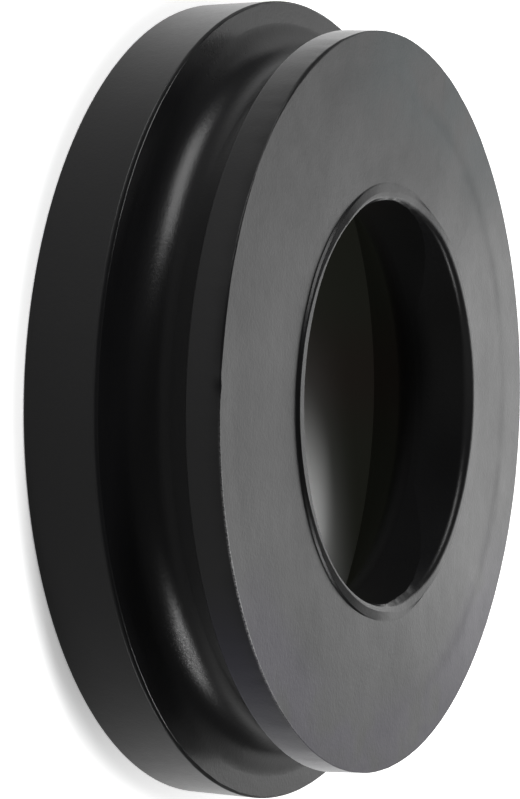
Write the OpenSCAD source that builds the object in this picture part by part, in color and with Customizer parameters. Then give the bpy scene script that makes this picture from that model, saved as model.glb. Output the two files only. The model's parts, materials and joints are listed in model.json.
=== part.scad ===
// Rubber seal for the fuel filler neck of a vehicle's tank, moulded in one piece.
// A tall rear flange and a thin front flange hold the edge of the tank opening between
// them, and the filler pipe pushes through the bore, guided in by a low lip round its
// mouth.
// The origin is the middle of the flat rear face, and +Z points out of the front face.

/* [Rear flange] */
// Outside diameter of the rear flange
rear_flange_d = 75; // [73:0.5:82]
// Height of the rear flange's rim
rear_flange_t = 6.9; // [5:0.1:9]

/* [Front flange] */
// Outside diameter of the front flange
front_flange_d = 69; // [67:0.5:74]
// Thickness of the front flange
front_flange_t = 3.1; // [2:0.1:4.5]
// How far the front flange's rim draws in on its way up to the face
front_draft = 0.2; // [0:0.05:0.5]

/* [Groove] */
// Diameter of the neck between the flanges, which fills the tank opening
neck_d = 63.5; // [58:0.5:65]
// Width of the groove from flange to flange
groove_w = 6.6; // [5.5:0.1:9]
// Radius of the cove that sweeps from the rear flange down to the neck
cove_r = 3.7; // [2:0.1:4.3]
// Radius of the corner under the front flange
front_corner_r = 1.2; // [0.5:0.1:1.4]

/* [Bore] */
// Diameter of the bore, which grips the filler pipe
bore_d = 37.5; // [34:0.5:42]
// Length of the straight bore behind the front face
bore_land = 7; // [5:0.5:9]
// Diameter of the dished back at the rear face
dish_d = 67; // [60:0.5:69]
// Radius of the turn from the straight bore to the dished back
dish_turn_r = 3; // [1:0.5:5]

/* [Lip] */
// Height of the lip that stands round the bore's mouth
lip_h = 0.45; // [0.3:0.05:0.8]
// Width of the lip at its crest
lip_crest_w = 0.35; // [0.25:0.05:0.9]
// Width of the lip's steep outer side
lip_slope_w = 0.3; // [0.1:0.05:1]
// Radius of the hollow at the foot of the lip
lip_foot_r = 0.15; // [0.05:0.05:0.4]
// Width of the slope that leads the pipe from the lip's crest into the bore
lead_in_w = 0.8; // [0.4:0.05:1.2]
// Depth of that slope below the crest
lead_in_h = 0.5; // [0.2:0.05:1.5]

/* [Edges] */
// Chamfer on the rear flange's rim, at the groove
rim_chamfer = 0.4; // [0.1:0.05:1]
// Rounding of the flanges' edges
edge_r = 0.15; // [0.05:0.01:0.3]
// Rounding of the lip's edges
lip_edge_r = 0.15; // [0.05:0.01:0.2]

/* [Hidden] */
$fn = 96;
rubber = "#1b1b1d";

bore_r = bore_d / 2;
neck_r = neck_d / 2;
rear_r = rear_flange_d / 2;
front_r = front_flange_d / 2;

groove_z = rear_flange_t;
front_z = groove_z + groove_w;
face_z = front_z + front_flange_t;
lip_z = face_z + lip_h;

crest_r = bore_r + lead_in_w;
lip_r = crest_r + lip_crest_w + lip_slope_w;

// The cove leaves a little flat seat inside the rim, and some straight wall on the neck.
seat_w = rear_r - rim_chamfer - neck_r;
cove_seat_share = 0.95;
cove_wall_share = 0.7;
cove_fit_r = min(cove_r, cove_seat_share * seat_w, cove_wall_share * groove_w);

// Corners of the section, [radius, height, rounding], from the rear face outwards and
// back down the bore.
section_corners = [
    [dish_d / 2, 0, edge_r],
    [rear_r, 0, edge_r],
    [rear_r, groove_z - rim_chamfer, edge_r],
    [rear_r - rim_chamfer, groove_z, edge_r],
    [neck_r, groove_z, cove_fit_r],
    [neck_r, front_z, front_corner_r],
    [front_r, front_z, edge_r],
    [front_r - front_draft, face_z, edge_r],
    [lip_r, face_z, lip_foot_r],
    [crest_r + lip_crest_w, lip_z, lip_edge_r],
    [crest_r, lip_z, lip_edge_r],
    [bore_r, lip_z - lead_in_h, lip_edge_r],
    [bore_r, face_z - bore_land, dish_turn_r]
];

// A corner's place on the section, counted round the section in either direction.
function place(i) =
    let (c = section_corners[(i + len(section_corners)) % len(section_corners)]) [c[0], c[1]];
function unit(v) = v / norm(v);
function cross_2d(a, b) = a[0] * b[1] - a[1] * b[0];

// Whether the section turns inwards at a corner, so that rounding it adds rubber.
function is_hollow(i) = cross_2d(place(i) - place(i - 1), place(i + 1) - place(i)) < 0;

// The sliver between a sharp corner and the arc that rounds it.
module corner_sliver(i) {
    r = section_corners[i][2];
    to_last = unit(place(i - 1) - place(i));
    to_next = unit(place(i + 1) - place(i));
    half_angle = acos(to_last * to_next) / 2;
    run = r / tan(half_angle);
    centre = place(i) + unit(to_last + to_next) * r / sin(half_angle);
    difference() {
        polygon([place(i), place(i) + to_last * run, centre, place(i) + to_next * run]);
        translate(centre) circle(r);
    }
}

// Half section of the seal, with a true arc at every corner.
module seal_section() {
    corners = [0 : len(section_corners) - 1];
    difference() {
        union() {
            polygon([for (i = corners) place(i)]);
            for (i = corners) if (is_hollow(i)) corner_sliver(i);
        }
        for (i = corners) if (!is_hollow(i)) corner_sliver(i);
    }
}

module filler_neck_seal() {
    color(rubber)
        rotate_extrude()
            seal_section();
}

filler_neck_seal();
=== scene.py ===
"""A moulded rubber seal for a fuel filler neck, laid on a pale studio floor.

Lengths are named in millimetres, as on the part's drawing, and become metres in the meshes.
The seal is a body of revolution about Z, and its flat rear face lies on the floor at Z = 0.
A bearing is a direction round the seal, in degrees: 0 is the near side (-Y), 90 is the left
(-X), -90 the right and 180 the far side.
"""

import functools
import json
import math
import operator

import bpy
from mathutils import Euler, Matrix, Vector, noise


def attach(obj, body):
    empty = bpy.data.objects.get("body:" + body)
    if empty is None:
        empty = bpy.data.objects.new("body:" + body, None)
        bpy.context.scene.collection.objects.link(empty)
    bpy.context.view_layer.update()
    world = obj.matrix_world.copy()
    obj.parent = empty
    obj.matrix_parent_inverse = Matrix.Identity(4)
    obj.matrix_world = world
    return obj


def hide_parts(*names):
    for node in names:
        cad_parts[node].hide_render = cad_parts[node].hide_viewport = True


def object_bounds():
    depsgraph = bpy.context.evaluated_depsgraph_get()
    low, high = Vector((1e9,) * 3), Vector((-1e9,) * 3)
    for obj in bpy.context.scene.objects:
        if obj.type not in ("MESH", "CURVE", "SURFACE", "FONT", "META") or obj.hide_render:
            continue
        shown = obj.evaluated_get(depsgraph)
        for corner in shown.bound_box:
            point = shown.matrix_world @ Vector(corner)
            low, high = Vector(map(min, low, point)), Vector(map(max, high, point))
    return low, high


MM = 0.001

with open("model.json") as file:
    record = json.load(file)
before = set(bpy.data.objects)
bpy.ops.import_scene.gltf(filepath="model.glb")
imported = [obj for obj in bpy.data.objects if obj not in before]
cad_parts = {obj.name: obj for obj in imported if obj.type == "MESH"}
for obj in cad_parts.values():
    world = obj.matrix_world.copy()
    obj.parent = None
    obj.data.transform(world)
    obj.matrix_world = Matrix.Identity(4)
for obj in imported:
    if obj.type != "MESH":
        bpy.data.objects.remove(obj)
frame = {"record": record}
cad_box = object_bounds()

# --------------------------------------------------------------------------------------
# Sizes of the seal
# --------------------------------------------------------------------------------------
# From the frame: how far the rear flange and the lip reach, the bore, and the panel's seat
mounts = {mount["name"]: mount for mount in frame["record"]["mounts"]}
REAR_R = round(cad_box[1].x / MM, 3)
LIP_Z = round(cad_box[1].z / MM, 3)
BORE_R = mounts["pipe_bore"]["dims"]["r_mm"]
GROOVE_Z = round(mounts["panel_seat"]["pos_m"][2] / MM, 3)

# From the part's drawing
FRONT_FLANGE_D = 69.0
FRONT_FLANGE_T = 3.1
FRONT_DRAFT = 0.2
NECK_D = 63.5
GROOVE_W = 6.6
COVE_R = 3.7
FRONT_CORNER_R = 1.2
BORE_LAND = 7.0
DISH_D = 67.0
DISH_TURN_R = 3.0
LIP_CREST_W = 0.35
LIP_SLOPE_W = 0.3
LEAD_IN_W = 0.8
RIM_CHAMFER = 0.4
EDGE_R = 0.15

NECK_R = NECK_D / 2
FRONT_R = FRONT_FLANGE_D / 2
FACE_R = FRONT_R - FRONT_DRAFT
DISH_R = DISH_D / 2
FRONT_Z = GROOVE_Z + GROOVE_W
FACE_Z = FRONT_Z + FRONT_FLANGE_T
LAND_Z = FACE_Z - BORE_LAND
DISH_SLOPE = (DISH_R - BORE_R) / LAND_Z
CREST_R = BORE_R + LEAD_IN_W
LIP_R = CREST_R + LIP_CREST_W + LIP_SLOPE_W

# --------------------------------------------------------------------------------------
# Hand trimming and wear, which vary round the seal
# --------------------------------------------------------------------------------------
# Lengths of the lip: everywhere, then what is added at the near side and at the far side
CREST_OUTER_EDGE = (-0.17, 0.57, 1.0)
CREST_INNER_EDGE = (0.22, -0.03, 0.13)
CREST_INNER_R = (0.25, -0.15, 0.42)
LIP_SIDE_W = (0.77, -0.69, -0.65)
CREST_OUTER_R = 0.1
LIP_FOOT_R = 0.05

# Smooth rises: height, bearing of the middle, and how far it reaches in degrees
CREST_SPREAD = ((0.3, -104, 28), (0.12, 84, 30))
CREST_OUTER_RISES = ((0.05, 10, 50),)
CREST_INNER_RISES = ((0.3, 45, 40), (0.3, -45, 40), (0.22, 10, 50))
RUBBED_EDGE_RISES = ((0.25, 57, 24), (0.15, 14, 30))
EDGE_NICKS = ((0.07, 9, 8), (0.15, 1.5, 1.8))
EDGE_NICK_H = 0.9

# Raggedness: height, waves to a turn, and seed. Noise seldom passes 0.6 on its own.
NOISE_TO_FULL = 1.6
CREST_OUTER_RAGGED = ((0.02, 40, 3.1),)
CREST_INNER_RAGGED = ((0.02, 40, 7.7),)
LEAD_IN_RAGGED = ((0.12, 110, 1.9),)
CHAMFER_RAGGED = ((0.03, 130, 4.2),)
FACE_EDGE_RAGGED = ((0.02, 60, 5.3), (0.02, 170, 8.3))

# The lip is lower at the near side. It is worn down at both flanks: the wear sets in over
# the first two bearings, counted from WORN_AWAY_FROM, and dies out over the last two.
LIP_NEAR_DROP = 0.18
LIP_WORN_DROP = 0.41
WORN_AWAY_FROM = -5
WORN_SETS_IN = (62, 92)
WORN_DIES_OUT = (102, 130)
# The crest's inner rounding grows once more between these bearings at the far side.
FAR_ROUNDING = 0.25
FAR_ROUNDING_SETS_IN = (145, 175)

# The small step on the lip's outer side, which is taller and broader beside the near side
STEP_H = 0.18
STEP_W = 0.07
STEP_BESIDE_H = 0.1
STEP_BESIDE_W = 0.13
STEP_WORN_W = 0.1
STEP_LEAST_H = 0.01
STEP_FULL_UNTIL = 0.4
FOOT_WORN_W = 0.15

# Depth of the slope into the bore, and how much of it is torn away at the flanks
LEAD_IN_NEAR_H = 1.2
LEAD_IN_FAR_H = 3.9
LEAD_IN_R = 0.15
TORN_SHARE = 0.75
TORN_BEARINGS = (-108, 106)
TORN_REACH = 46

# The chamfer on the rear rim narrows to a share of its width away from the near side,
# and ends at the seat in a small bevel.
CHAMFER_LEAST_SHARE = 0.35
CHAMFER_REACH = 80
CHAMFER_RISE = 0.55
CHAMFER_R = 0.11
SEAT_BEVEL_W = 0.05
SEAT_BEVEL_H = 0.07
SEAT_BEVEL_R = 0.03
FACE_EDGE_R = 0.04

# The gentle waves of the face and the groove: their length, height and where they lie
SHORT_WAVE = 9.0
LONG_WAVE = 22.0
LONG_WAVE_SHIFT = Vector((5, 0, 0))
FACE_SHORT_WAVE_H = 0.028
FACE_LONG_WAVE_H = 0.05
FACE_SINK = 0.03
GROOVE_WAVE_H = 0.02
FACE_WAVES_R = (LIP_R + 0.3, FRONT_R - 0.5)
FACE_WAVES_Z = FACE_Z - 0.1
FACE_INNER_FADE = 1.5
FACE_OUTER_FADE = 1.0
GROOVE_WAVES_R = (NECK_R - 0.1, REAR_R - 1.5)
GROOVE_WAVES_Z = (GROOVE_Z + 0.05, FRONT_Z)

# How finely the section is turned, and the close points that hold each arc's ends
TURNS = 816
GUARD_W = 0.05
GUARD_SHARE = 0.3


# --------------------------------------------------------------------------------------
# Shader maths
# --------------------------------------------------------------------------------------
class Number:
    """A value in a node tree; arithmetic on it adds Math nodes."""

    def __init__(self, tree, socket):
        self.tree = tree
        self.socket = socket

    def math(self, operation, *values):
        return self.tree.add("ShaderNodeMath", {"operation": operation}, dict(enumerate(values)))

    def __add__(self, other):
        return self.math("ADD", self, other)

    def __radd__(self, other):
        return self.math("ADD", other, self)

    def __sub__(self, other):
        return self.math("SUBTRACT", self, other)

    def __rsub__(self, other):
        return self.math("SUBTRACT", other, self)

    def __mul__(self, other):
        return self.math("MULTIPLY", self, other)

    def __rmul__(self, other):
        return self.math("MULTIPLY", other, self)

    def __truediv__(self, other):
        return self.math("DIVIDE", self, other)

    def __rtruediv__(self, other):
        return self.math("DIVIDE", other, self)

    def at_least(self, other):
        return self.math("MAXIMUM", self, other)

    def absolute(self):
        return self.math("ABSOLUTE", self)

    def between(self, low, high):
        """low where the value is 0, high where it is 1."""
        return self * (high - low) + low

    def swing(self, width):
        """Noise from 0 to 1 as an unevenness of this width, half of it below zero."""
        return width * (self - 0.5)

    def rises(self, start, full):
        """0 before the start, 1 past the full value, and smooth between."""
        return self.tree.add(
            "ShaderNodeMapRange",
            {"interpolation_type": "SMOOTHSTEP"},
            {"Value": self, "From Min": start, "From Max": full},
        )

    def near(self, middle, reach):
        """1 at the middle, falling smoothly to 0 at the given reach on both sides."""
        return 1 - (self - middle).absolute().rises(0, reach)


class Tree:
    """A node tree under construction."""

    def __init__(self, tree):
        self.tree = tree
        tree.nodes.clear()

    def add(self, kind, settings=None, inputs=None, output=0):
        """Adds a node, makes its settings, fills its sockets and gives back one output."""
        node = self.tree.nodes.new(kind)
        for name, value in (settings or {}).items():
            setattr(node, name, value)
        for name, value in (inputs or {}).items():
            if isinstance(value, Number):
                self.tree.links.new(value.socket, node.inputs[name])
            else:
                node.inputs[name].default_value = value
        if not node.outputs:
            return node
        return Number(self, node.outputs[output])

    def vector(self, operation, inputs, output=0):
        return self.add("ShaderNodeVectorMath", {"operation": operation}, inputs, output)

    def noise(self, where, scale, detail=2.0, roughness=0.5):
        """Smooth noise from 0 to 1."""
        return self.add(
            "ShaderNodeTexNoise",
            {"noise_dimensions": "3D"},
            {"Vector": where, "Scale": scale, "Detail": detail, "Roughness": roughness},
            "Fac",
        )

    def blend_colour(self, share, first, second):
        return self.add(
            "ShaderNodeMix",
            {"data_type": "RGBA"},
            {"Factor": share, 6: first, 7: second},
            2,
        )


class Place:
    """Where a shaded point lies: side is X, depth is Y, height is Z, radius is about Z."""

    def __init__(self, tree):
        in_metres = tree.add("ShaderNodeTexCoord", {}, {}, "Object")
        self.point = tree.vector("SCALE", {0: in_metres, "Scale": 1 / MM})
        across = tree.vector("MULTIPLY", {0: self.point, 1: (1, 1, 0)})
        self.radius = tree.vector("LENGTH", {0: across}, "Value")
        self.side, self.depth, self.height = (
            tree.add("ShaderNodeSeparateXYZ", {}, {0: self.point}, axis) for axis in "XYZ"
        )

    def area(self, **limits):
        """1 where every named measure has gone from its first limit past its second."""
        shares = [getattr(self, name).rises(*limit) for name, limit in limits.items()]
        return functools.reduce(operator.mul, shares)


def new_material(name):
    material = bpy.data.materials.new(name)
    material.use_nodes = True
    return material, Tree(material.node_tree)


# --------------------------------------------------------------------------------------
# Moulded rubber
# --------------------------------------------------------------------------------------
RUBBER_DARK = (0.005, 0.005, 0.0055, 1)
RUBBER_LIGHT = (0.008, 0.008, 0.0085, 1)
BLOOM_GREY = (0.022, 0.022, 0.0225, 1)
# Painted light for the bore's wall and dish, and more of it for the far wall
BORE_PAINTED_LIGHT = (0.014, 0.014, 0.0145, 1)
FAR_WALL_PAINTED_LIGHT = (0.026, 0.026, 0.026, 1)
BLUE_FILM = (0.013, 0.024, 0.027, 1)
VIOLET_FILM = (0.018, 0.013, 0.031, 1)
VIOLET_RIM_FILM = (0.022, 0.021, 0.035, 1)
PAINTED_GLINT_PALE = (0.4, 0.4, 0.405, 1)
PAINTED_EDGE_HIGHLIGHT = (0.3, 0.3, 0.3, 1)

RUBBER_ROUGHNESS = 0.29
BLOOM_ROUGHNESS = 0.05
WIPED_ROUGHNESS = 0.07
WIPED_RING_R = 29.2
WIPED_RING_W = 1.5
RUBBER_IOR = 1.5
RELIEF_H = 0.02
RELIEF_STRENGTH = 0.3


class RubberFinishAndPaintedLight:
    """The noises and areas of the rubber, and the colour, roughness and relief they make. Part of the
    colour is painted light: grey in the bore, pale glints in the cove and a pale highlight on the
    face's edge.
    """

    def __init__(self, tree):
        self.tree = tree
        self.place = place = Place(tree)
        self.grain = tree.noise(place.point, scale=3.2, detail=3.0, roughness=0.6)
        self.speckle = tree.noise(place.point, scale=9.0, detail=1.0)
        self.clouds = tree.noise(place.point, scale=0.09)
        self.patches = tree.noise(place.point, scale=0.16, roughness=0.55)
        self.mottle = tree.noise(place.point, scale=0.8, roughness=0.6)
        self.scuffs = tree.noise(place.point, scale=5.0, detail=4.0, roughness=0.8)

        self.on_face = place.area(height=(FACE_Z - 0.2, FACE_Z - 0.05))
        self.rear_rim = place.area(radius=(REAR_R - 0.25, REAR_R - 0.05))
        self.front_rim = place.area(
            radius=(FRONT_R - 0.3, FRONT_R - 0.1), height=(FRONT_Z - 0.3, FRONT_Z)
        )
        # The outer rims carry a faint dry bloom that the groove doesn't.
        self.bloom = self.rear_rim.at_least(self.front_rim)
        # Fine scuffs lie in one stretch of the cove. They give relief, and the pale dots among them
        # are painted glints.
        self.scuffed = place.side.near(22, 4.5) * place.height.near(GROOVE_Z + 1.7, 1.0)
        self.scuffed = self.scuffed * place.area(depth=(-8, -14))

    def roughness(self):
        roughness = RUBBER_ROUGHNESS + self.clouds.swing(0.05) + self.grain.swing(0.05)
        roughness = roughness + self.rear_rim * self.mottle.swing(0.06)
        # The face is as dry as the rims, though not as grey.
        roughness = roughness + BLOOM_ROUGHNESS * self.bloom.at_least(self.on_face)
        roughness = roughness + self.on_face * self.patches.swing(0.08)
        roughness = roughness + self.on_face * self.mottle.swing(0.05)
        # The face was wiped in a faint ring, which is strongest at the far side.
        ring = self.place.radius.near(WIPED_RING_R, WIPED_RING_W) * self.place.area(depth=(-5, 20))
        return roughness + WIPED_ROUGHNESS * ring * self.on_face * self.patches

    def relief(self):
        """Height of the grain, the lumps and the scuffs, as shares of RELIEF_H."""
        relief = 1.6 * self.grain + 0.8 * self.speckle + 5.0 * self.patches + 2.0 * self.mottle
        return relief + 4.0 * self.scuffed * self.scuffs

    def colour(self):
        dark = self.tree.blend_colour(self.clouds, RUBBER_DARK, RUBBER_LIGHT)
        colour = self.tree.blend_colour(self.bloom, dark, BLOOM_GREY)
        # Also blended in here: painted light in the bore, painted glints and a painted edge
        # highlight.
        for area, finish_and_painted_light in (*self.painted_bore_light(), *self.films(), *self.painted_highlights()):
            colour = self.tree.blend_colour(area, colour, finish_and_painted_light)
        return colour

    def painted_bore_light(self):
        """Painted light in the bore: its wall and the dished back behind it are coloured greyer than
        the rest in place of light. There is more of it on a stretch of the far wall, and less towards
        the right and towards the mouth.
        """
        place = self.place
        wall = 1 - place.area(radius=(BORE_R + 0.05, BORE_R + 1.2))
        wall = wall * place.area(height=(LAND_Z - 0.6, LAND_Z + 0.9))
        far_wall = wall * place.area(depth=(4, 14), height=(FRONT_Z - 2, FRONT_Z))
        far_wall = far_wall * place.side.near(-5, 11)
        wall = wall * (1 - 0.8 * place.area(side=(0, 10)))
        wall = wall * (1 - 0.35 * place.area(height=(FRONT_Z - 2, FRONT_Z + 1)))
        dish = 1 - (place.radius + DISH_SLOPE * place.height).rises(DISH_R + 1, DISH_R + 3)
        return (wall.at_least(dish), BORE_PAINTED_LIGHT), (far_wall, FAR_WALL_PAINTED_LIGHT)

    def films(self):
        """Old film on the face: greenish blue towards one side, violet towards the other.

        The same violet lies thinly on the front rim along one stretch.
        """
        blue = self.place.area(side=(-14, -28), radius=(23, 30), depth=(-14, 2))
        blue = blue * self.on_face * self.patches.rises(0.3, 0.6)
        violet = self.place.area(side=(10, 22), radius=(26, 31))
        violet = violet * self.on_face * self.patches.rises(0.3, 0.5)
        violet_rim = self.place.area(side=(14, 24), depth=(6, -6)) * self.front_rim
        return (blue, BLUE_FILM), (violet, VIOLET_FILM), (violet_rim, VIOLET_RIM_FILM)

    def painted_highlights(self):
        """Painted glints: pale dots among the scuffs in the cove. A painted highlight: a pale line
        along one stretch of the face's edge.
        """
        # Painted glints in the cove's highlight
        painted_glints = self.scuffed * self.scuffs.rises(0.52, 0.66)
        # A painted highlight: a pale line along one stretch of the face's edge, where its rounding
        # would catch light
        rubbed = self.place.radius.near(FACE_R - 0.05, 0.22) * self.place.side.near(16, 18)
        rubbed = rubbed * self.place.area(depth=(-12, -18)) * self.on_face
        return (painted_glints, PAINTED_GLINT_PALE), (rubbed * self.scuffs.rises(0.42, 0.56), PAINTED_EDGE_HIGHLIGHT)


def rubber_material():
    material, tree = new_material("moulded_rubber")
    finish_and_painted_light = RubberFinishAndPaintedLight(tree)
    bump = tree.add(
        "ShaderNodeBump",
        {},
        {"Height": finish_and_painted_light.relief(), "Strength": RELIEF_STRENGTH, "Distance": RELIEF_H * MM},
    )
    surface = tree.add(
        "ShaderNodeBsdfPrincipled",
        {},
        {
            "Base Color": finish_and_painted_light.colour(),
            "Roughness": finish_and_painted_light.roughness(),
            "Normal": bump,
            "IOR": RUBBER_IOR,
        },
    )
    tree.add("ShaderNodeOutputMaterial", {}, {"Surface": surface})
    return material


# --------------------------------------------------------------------------------------
# The seal
# --------------------------------------------------------------------------------------
def rises(value, start, full):
    """0 before the start, 1 past the full value, and smooth between."""
    share = max(0.0, min(1.0, (value - start) / (full - start)))
    return share * share * (3 - 2 * share)


def near_bearing(bearing, middle, reach):
    """1 at the middle bearing, falling smoothly to 0 at the given reach on both sides."""
    gap = abs((bearing - middle + 180) % 360 - 180) / reach
    return 0.0 if gap >= 1 else 0.5 + 0.5 * math.cos(math.pi * gap)


def within(value, limits):
    return limits[0] < value < limits[1]


def smooth_rises(bearing, stretches):
    return sum(height * near_bearing(bearing, middle, reach) for height, middle, reach in stretches)


def ragged(bearing, layers):
    """Unevenness at a bearing, from layers of noise that are read round a circle."""
    angle = math.radians(bearing)
    total = 0.0
    for height, waves, seed in layers:
        # The way round a circle is about six times its radius.
        circle_r = waves / 6
        where = Vector((circle_r * math.cos(angle), circle_r * math.sin(angle), seed))
        total += height * NOISE_TO_FULL * noise.noise(where)
    return total


def varied(length, near, far):
    """A length of the lip with what the near side and the far side add to it."""
    everywhere, near_more, far_more = length
    return everywhere + near_more * near + far_more * far


def rear_rim_corners(bearing):
    """The rear rim, from the floor up over its uneven chamfer to the seat."""
    nearness = near_bearing(bearing, 0, CHAMFER_REACH) ** 0.7
    chamfer = RIM_CHAMFER * (CHAMFER_LEAST_SHARE + (1 - CHAMFER_LEAST_SHARE) * nearness)
    chamfer += ragged(bearing, CHAMFER_RAGGED)
    bevel_z = GROOVE_Z - SEAT_BEVEL_H
    return [
        (REAR_R, 0.0, EDGE_R, 3, 2),
        (REAR_R, bevel_z - CHAMFER_RISE * chamfer, CHAMFER_R, 3, 1),
        (REAR_R - chamfer, bevel_z, SEAT_BEVEL_R, 1, 1),
        (REAR_R - chamfer - SEAT_BEVEL_W, GROOVE_Z, SEAT_BEVEL_R, 1, 1),
    ]


def front_rim_corners(bearing):
    """The front rim, whose edge at the face is rubbed down along one stretch."""
    rubbed = smooth_rises(bearing, RUBBED_EDGE_RISES)
    return [
        (FRONT_R, FRONT_Z, EDGE_R, 3, 4),
        (FACE_R + ragged(bearing, FACE_EDGE_RAGGED), FACE_Z, FACE_EDGE_R + rubbed, 5, 9),
    ]


def lip_corners(bearing):
    """The lip, from its foot on the face over the crest and down into the bore.

    It was trimmed by hand: low, broad and square at the near side, rounded inwards at the
    far side, and worn at both flanks until it hardly stands off the face.
    """
    # Powers of these shares set how fast each change comes in.
    facing = math.cos(math.radians(bearing))
    near = max(0.0, facing)
    far = 1 - (1 - max(0.0, -facing)) ** 2.2
    beside = near**2 - near**8
    worn = rises(abs(bearing - WORN_AWAY_FROM), *WORN_SETS_IN) ** 0.8
    worn *= 1 - rises(abs(bearing), *WORN_DIES_OUT)
    lip_top = LIP_Z - LIP_NEAR_DROP * near**2 - LIP_WORN_DROP * worn

    spread = smooth_rises(bearing, CREST_SPREAD)
    crest_out = CREST_R + varied(CREST_OUTER_EDGE, near**4, far) + spread
    crest_out += smooth_rises(bearing, CREST_OUTER_RISES) + ragged(bearing, CREST_OUTER_RAGGED)
    crest_in = BORE_R + varied(CREST_INNER_EDGE, near**4, far) + spread
    crest_in += smooth_rises(bearing, CREST_INNER_RISES) + ragged(bearing, CREST_INNER_RAGGED)
    crest_in_r = varied(CREST_INNER_R, near, far)
    crest_in_r += FAR_ROUNDING * rises(abs(bearing), *FAR_ROUNDING_SETS_IN)

    # The outer side starts with a small step, which dies out at the flanks.
    foot = crest_out + varied(LIP_SIDE_W, near**4, far) + FOOT_WORN_W * worn
    step_h = (STEP_H + STEP_BESIDE_H * beside) * (1 - worn) * min(1.0, near / STEP_FULL_UNTIL)
    step_r = foot - STEP_W - STEP_BESIDE_W * beside - STEP_WORN_W * worn

    # The slope into the bore is deep at the far side, and torn short at both flanks.
    torn = max(near_bearing(bearing, middle, TORN_REACH) for middle in TORN_BEARINGS) ** 0.5
    lead_in_h = (LEAD_IN_NEAR_H + LEAD_IN_FAR_H * far**0.7) * (1 - TORN_SHARE * torn)
    lead_end = LIP_Z - lead_in_h + torn * ragged(bearing, LEAD_IN_RAGGED)
    return [
        (foot, FACE_Z, LIP_FOOT_R, 3, 1),
        (step_r, FACE_Z + step_h + STEP_LEAST_H, LIP_FOOT_R, 2, 1),
        (crest_out, lip_top, CREST_OUTER_R, 3, 1),
        (crest_in, lip_top, crest_in_r, 7, 1),
        (BORE_R, lead_end, LEAD_IN_R, 2, 3),
    ]


def section_corners(bearing):
    """Corners of the half section, from the rear face outwards and back down the bore.

    Each is its radius, its height, its rounding, the parts of its arc and the parts of the
    flat that follows it.
    """
    return [
        (DISH_R, 0.0, EDGE_R, 2, 1),
        *rear_rim_corners(bearing),
        (NECK_R, GROOVE_Z, COVE_R, 13, 2),
        (NECK_R, FRONT_Z, FRONT_CORNER_R, 7, 1),
        *front_rim_corners(bearing),
        *lip_corners(bearing),
        (BORE_R, LAND_Z, DISH_TURN_R, 4, 2),
    ]


def turned(arm, angle):
    return Vector(
        (
            arm.x * math.cos(angle) - arm.y * math.sin(angle),
            arm.x * math.sin(angle) + arm.y * math.cos(angle),
        )
    )


def rounded_corner(last, corner, following, radius, parts):
    """Points on the arc that rounds one corner, with a close point before and after it."""
    to_last = (last - corner).normalized()
    to_next = (following - corner).normalized()
    half_angle = math.acos(max(-1.0, min(1.0, to_last.dot(to_next)))) / 2
    run = radius / math.tan(half_angle)
    centre = corner + (to_last + to_next).normalized() * radius / math.sin(half_angle)
    start = corner + to_last * run - centre
    end = corner + to_next * run - centre
    swing = math.atan2(start.x * end.y - start.y * end.x, start.dot(end))
    points = [centre + turned(start, swing * i / parts) for i in range(parts + 1)]
    guard = min(GUARD_W, GUARD_SHARE * radius)
    return [points[0] + to_last * guard, *points, points[-1] + to_next * guard]


def section_points(bearing):
    """The half section at a bearing, as points of (radius, height)."""
    corners = section_corners(bearing)
    places = [Vector(corner[:2]) for corner in corners]
    arcs = []
    for i, (_, _, rounding, arc_parts, _) in enumerate(corners):
        following = places[(i + 1) % len(places)]
        arcs.append(rounded_corner(places[i - 1], places[i], following, rounding, arc_parts))
    points = []
    for i, arc in enumerate(arcs):
        flat_parts = corners[i][-1]
        flat_end = arcs[(i + 1) % len(arcs)][0]
        points += arc
        points += [arc[-1].lerp(flat_end, part / flat_parts) for part in range(1, flat_parts)]
    return points


def uneven(point, angle, bearing):
    """How far a point of the section stands off its true place: (outwards, up)."""
    radius, height = point
    here = Vector((radius * math.cos(angle), radius * math.sin(angle), height))
    short_wave = noise.noise(here / SHORT_WAVE)
    long_wave = noise.noise(here / LONG_WAVE + LONG_WAVE_SHIFT)
    face_start, face_end = FACE_WAVES_R
    if face_start < radius < face_end and height > FACE_WAVES_Z:
        inner_fade = (radius - face_start) / FACE_INNER_FADE
        outer_fade = (face_end - radius) / FACE_OUTER_FADE
        waves = FACE_SHORT_WAVE_H * short_wave + FACE_LONG_WAVE_H * long_wave - FACE_SINK
        return 0.0, min(1.0, inner_fade, outer_fade) * waves
    # The nicks in the face's edge run down the rim and die out.
    at_edge = min(1.0, (height - FACE_Z + EDGE_NICK_H) / EDGE_NICK_H)
    if radius > face_end and at_edge > 0:
        return -smooth_rises(bearing, EDGE_NICKS) * at_edge**1.5, 0.0
    if within(radius, GROOVE_WAVES_R) and within(height, GROOVE_WAVES_Z):
        return GROOVE_WAVE_H * short_wave, 0.0
    return 0.0, 0.0


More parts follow.
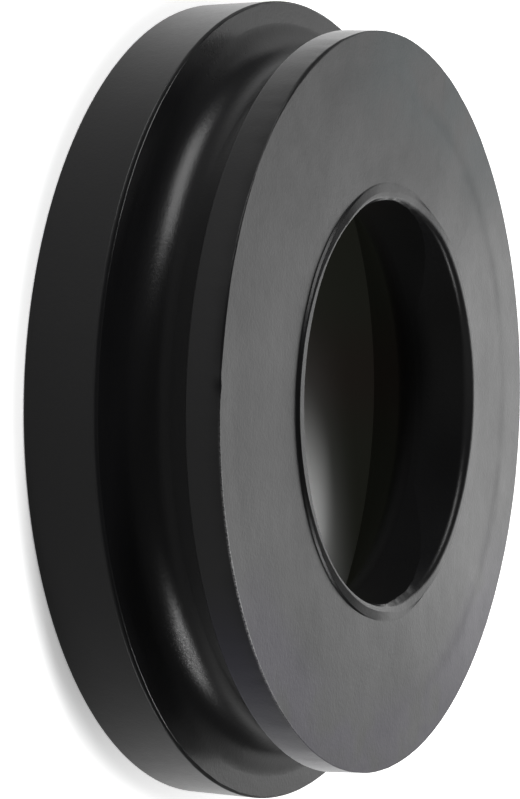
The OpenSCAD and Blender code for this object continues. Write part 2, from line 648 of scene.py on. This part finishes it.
def build_seal(material):
    vertices = []
    for turn in range(TURNS):
        angle = 2 * math.pi * turn / TURNS
        bearing = math.degrees(math.atan2(-math.cos(angle), -math.sin(angle)))
        section = section_points(bearing)
        for point in section:
            outwards, up = uneven(point, angle, bearing)
            radius = (point.x + outwards) * MM
            height = (point.y + up) * MM
            vertices.append((radius * math.cos(angle), radius * math.sin(angle), height))
    rows = len(section)
    faces = []
    for turn in range(TURNS):
        here = turn * rows
        there = (turn + 1) % TURNS * rows
        for row in range(rows):
            above = (row + 1) % rows
            faces.append((here + row, there + row, there + above, here + above))
    mesh = bpy.data.meshes.new("filler_neck_seal_body")
    mesh.from_pydata(vertices, [], faces)
    mesh.materials.append(material)
    mesh.polygons.foreach_set("use_smooth", [True] * len(mesh.polygons))
    mesh.update()
    seal = bpy.data.objects.new("filler_neck_seal_body", mesh)
    bpy.context.collection.objects.link(seal)
    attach(seal, "root")
    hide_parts("filler_neck_seal")


# --------------------------------------------------------------------------------------
# Studio
# --------------------------------------------------------------------------------------
FLOOR_SIZE = 6000
FLOOR_DROP = 0.02
# The floor's white as the camera sees it, and as light bounces off it. Under the seal it bounces
# less, which is painted shade in the bore.
FLOOR_SEEN = 1.25
FLOOR_BOUNCE_INSIDE = 0.3
FLOOR_BOUNCE_OUTSIDE = 0.8
# Light that the floor itself sends to the camera: close to the rear flange, further out, what the
# right side adds, and inside the bore. The weaker glow close to the flange is painted shadow, the
# right side's glow lightens the shadow there, and the glow inside the bore is painted light.
FILL_CLOSE = 0.2
FILL_FURTHER = 0.6
FILL_ADDED_RIGHT = 0.52
FILL_INSIDE = 0.0085
# The floor's white inside the bore: a warm painted shade, and a painted pool of light below the mouth
INSIDE_SHADED = 0.08
INSIDE_LIT = 0.98
# What the seal's gloss mirrors from the floor, for glossy rays alone: painted shade in front, and a
# painted white glow behind
FLOOR_MIRRORED = 0.25
FLOOR_SHEEN = 1.7
SHEEN_INSIDE = 0.0125
# Tints of what the floor inside the bore sends out: olive, and warmer in the middle
OLIVE = (1.0, 1.05, 0.8, 1)
OLIVE_WARM = (1.05, 0.88, 0.72, 1)
WHITE = (1, 1, 1, 1)

# The world's light: what the gloss mirrors, and the dome from the near side to the back
WORLD_GLOSS = 0.05
WORLD_LOW = 0.12
WORLD_HIGH = 0.5
LAMPS_AIM_Z = 10


def painted_floor_reflection(place, outside):
    """Painted reflection: a white glow that only the seal's gloss sees, behind the seal and faintly
    in its bore.
    """
    close = 1 - place.area(radius=(60, 110))
    back = close * place.area(depth=(-42, 25))
    back = back + (1 - close) * (place.depth / place.radius).rises(0.5, 1.0)
    # It fades out to both sides, and is a little stronger on the left.
    back = back * (1 - 0.6 * place.side.absolute().rises(46, 62))
    back = back * (1 + 0.15 * place.area(side=(-20, -45)))
    return back * outside * FLOOR_SHEEN + (1 - outside) * SHEEN_INSIDE


def floor_material():
    material, tree = new_material("studio_floor")
    camera_ray = tree.add("ShaderNodeLightPath", {}, {}, "Is Camera Ray")
    glossy_ray = tree.add("ShaderNodeLightPath", {}, {}, "Is Glossy Ray")
    place = Place(tree)
    outside = place.area(radius=(REAR_R - 1, REAR_R))

    # Painted light: a pool of light on the floor inside the bore, with painted shade around it
    painted_pool_of_light = place.area(side=(-10, 13)) * (1 - (place.depth - 0.2 * place.side).rises(17.5, 28.5))
    seen = outside.between(painted_pool_of_light.between(INSIDE_SHADED, INSIDE_LIT), FLOOR_SEEN)
    bounce = outside.between(FLOOR_BOUNCE_INSIDE, FLOOR_BOUNCE_OUTSIDE)
    white = camera_ray.between(bounce, seen)
    # Glossy rays see the floor darker than it is: painted shade in the seal's reflections, and black
    # under the seal
    level = white + glossy_ray * (outside * FLOOR_MIRRORED - bounce)
    grey = tree.add("ShaderNodeCombineColor", {}, {0: level, 1: level, 2: level})
    paper = tree.add("ShaderNodeBsdfDiffuse", {}, {"Color": grey})

    # Painted shadow and light on the floor: less glow beside the rear flange, more to the right, and
    # a faint glow inside the bore
    fill = place.area(radius=(REAR_R + 0.7, REAR_R + 3.7)).between(FILL_CLOSE, FILL_FURTHER)
    fill = fill + place.area(side=(22, 44)) * FILL_ADDED_RIGHT
    fill = fill * place.area(radius=(REAR_R - 0.6, REAR_R)) + (1 - outside) * FILL_INSIDE
    strength = glossy_ray * painted_floor_reflection(place, outside) + camera_ray * fill
    warm = tree.blend_colour(place.side.near(-3, 9), OLIVE, OLIVE_WARM)
    tint = tree.blend_colour(outside, warm, WHITE)
    sheen = tree.add("ShaderNodeEmission", {}, {"Color": tint, "Strength": strength})
    both = tree.add("ShaderNodeAddShader", {}, {0: paper, 1: sheen})
    tree.add("ShaderNodeOutputMaterial", {}, {"Surface": both})
    return material


def build_floor(material):
    half = FLOOR_SIZE / 2 * MM
    mesh = bpy.data.meshes.new("studio_floor")
    mesh.from_pydata(
        [(-half, -half, 0), (half, -half, 0), (half, half, 0), (-half, half, 0)],
        [],
        [(0, 1, 2, 3)],
    )
    mesh.materials.append(material)
    floor = bpy.data.objects.new("studio_floor", mesh)
    floor.location.z = -FLOOR_DROP * MM
    bpy.context.collection.objects.link(floor)


def build_world():
    world = bpy.data.worlds.new("studio_world")
    bpy.context.scene.world = world
    world.use_nodes = True
    tree = Tree(world.node_tree)
    camera_ray = tree.add("ShaderNodeLightPath", {}, {}, "Is Camera Ray")
    glossy_ray = tree.add("ShaderNodeLightPath", {}, {}, "Is Glossy Ray")
    towards = tree.add("ShaderNodeTexCoord", {}, {}, "Generated")
    back = tree.add("ShaderNodeSeparateXYZ", {}, {0: towards}, "Y").rises(-0.3, 0.7)
    dome = back.between(WORLD_LOW, WORLD_HIGH)
    level = glossy_ray.between(dome, WORLD_GLOSS)
    # The camera sees it plain white.
    strength = camera_ray.at_least(level)
    sky = tree.add("ShaderNodeBackground", {}, {"Color": WHITE, "Strength": strength})
    tree.add("ShaderNodeOutputWorld", {}, {"Surface": sky})


def softbox(name, bearing, rise, distance, size, radiance, in_gloss=True):
    """A soft lamp aimed at the seal from a bearing, this many degrees above the floor."""
    turn, tilt = math.radians(bearing), math.radians(rise)
    towards = Vector(
        (
            -math.sin(turn) * math.cos(tilt),
            -math.cos(turn) * math.cos(tilt),
            math.sin(tilt),
        )
    )
    width, height = size[0] * MM, size[1] * MM
    lamp = bpy.data.lights.new(name, "AREA")
    lamp.shape = "RECTANGLE"
    lamp.size = width
    lamp.size_y = height
    lamp.energy = radiance * math.pi * width * height
    holder = bpy.data.objects.new(name, lamp)
    holder.location = (towards * distance + Vector((0, 0, LAMPS_AIM_Z))) * MM
    holder.rotation_mode = "QUATERNION"
    holder.rotation_quaternion = towards.to_track_quat("Z", "Y")
    holder.visible_camera = False
    holder.visible_glossy = in_gloss
    bpy.context.collection.objects.link(holder)


def build_lamps():
    # Behind: they show in the front face at a low angle.
    softbox("back_softbox", bearing=177, rise=20, distance=900, size=(1500, 360), radiance=0.66)
    softbox("back_middle_softbox", bearing=-179, rise=30, distance=850, size=(360, 420), radiance=1.1)
    softbox("back_card", bearing=-178, rise=11, distance=130, size=(65, 50), radiance=1.1)
    # Both sides: they draw the streaks in the cove.
    softbox("left_softbox", bearing=72, rise=26, distance=800, size=(580, 300), radiance=4.0)
    softbox("right_softbox", bearing=-83, rise=17, distance=800, size=(370, 130), radiance=8.5)
    # The main lamp, on the left: it casts the shadow on the floor, and no gloss mirrors it.
    softbox(
        "key_softbox",
        bearing=78,
        rise=41,
        distance=1000,
        size=(300, 300),
        radiance=13.7,
        in_gloss=False,
    )


# The camera's lens and sensor, its angles in degrees, how far it stands from what it aims
# at, and how far that lies from the middle of its view
CAMERA_LENS = 108.5
CAMERA_SENSOR_W = 36
CAMERA_RISE = 26.68
CAMERA_ROLL = 91.24
CAMERA_REACH = 224.5
CAMERA_ASIDE = 12.07
CAMERA_ABOVE = 0.25
CAMERA_AIM_Z = 16.5
CAMERA_SEES_FROM = 10
CAMERA_SEES_TO = 20000


def build_camera():
    data = bpy.data.cameras.new("studio_camera")
    data.lens = CAMERA_LENS
    data.sensor_width = CAMERA_SENSOR_W
    data.clip_start = CAMERA_SEES_FROM * MM
    data.clip_end = CAMERA_SEES_TO * MM
    camera = bpy.data.objects.new("studio_camera", data)
    bpy.context.collection.objects.link(camera)
    upright = Euler((math.radians(90 - CAMERA_RISE), 0, 0)).to_matrix()
    rolled = upright @ Euler((0, 0, math.radians(CAMERA_ROLL))).to_matrix()
    offset = rolled @ Vector((CAMERA_ASIDE, -CAMERA_ABOVE, -CAMERA_REACH))
    camera.rotation_euler = rolled.to_euler()
    camera.location = (Vector((0, 0, CAMERA_AIM_Z)) - offset) * MM
    bpy.context.scene.camera = camera


build_seal(rubber_material())
build_floor(floor_material())
build_world()
build_lamps()
build_camera()
bpy.context.scene.view_settings.view_transform = "Standard"
